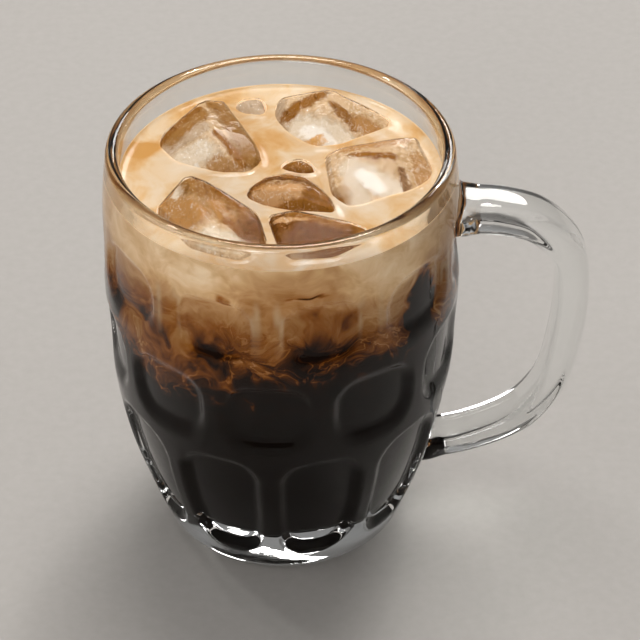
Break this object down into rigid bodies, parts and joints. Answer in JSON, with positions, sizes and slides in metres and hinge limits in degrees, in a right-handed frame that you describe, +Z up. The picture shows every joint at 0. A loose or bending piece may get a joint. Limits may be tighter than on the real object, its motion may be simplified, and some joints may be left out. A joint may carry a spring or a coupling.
{
  "type": "iced coffee in a glass mug",
  "caption": "Iced coffee with a pale milk layer and clear ice blocks, in a thick glass mug with rows of pressed dimples and a side handle.",
  "frame": {"origin": "centre of the mug's flat underside, on its axis", "axes": "+Z up along the mug's axis, +X from the axis towards the handle, -Y towards the side shown in the picture"},
  "size_m": [0.1233, 0.0902, 0.1124],
  "materials": {
    "glass": "clear, polished",
    "coffee": "liquid, near black",
    "coffee_with_milk": "liquid, amber brown",
    "milk": "liquid, creamy beige",
    "ice": "clear with frosty patches"
  },
  "bodies": {
    "root": {"mug": "glass", "coffee": "coffee", "coffee_with_milk": "coffee_with_milk", "milk": "milk", "ice_back_left": "ice", "ice_back": "ice", "ice_back_right": "ice", "ice_right": "ice", "ice_centre": "ice", "ice_centre_back": "ice", "ice_front_left": "ice", "ice_front": "ice"}
  },
  "joints": []
}
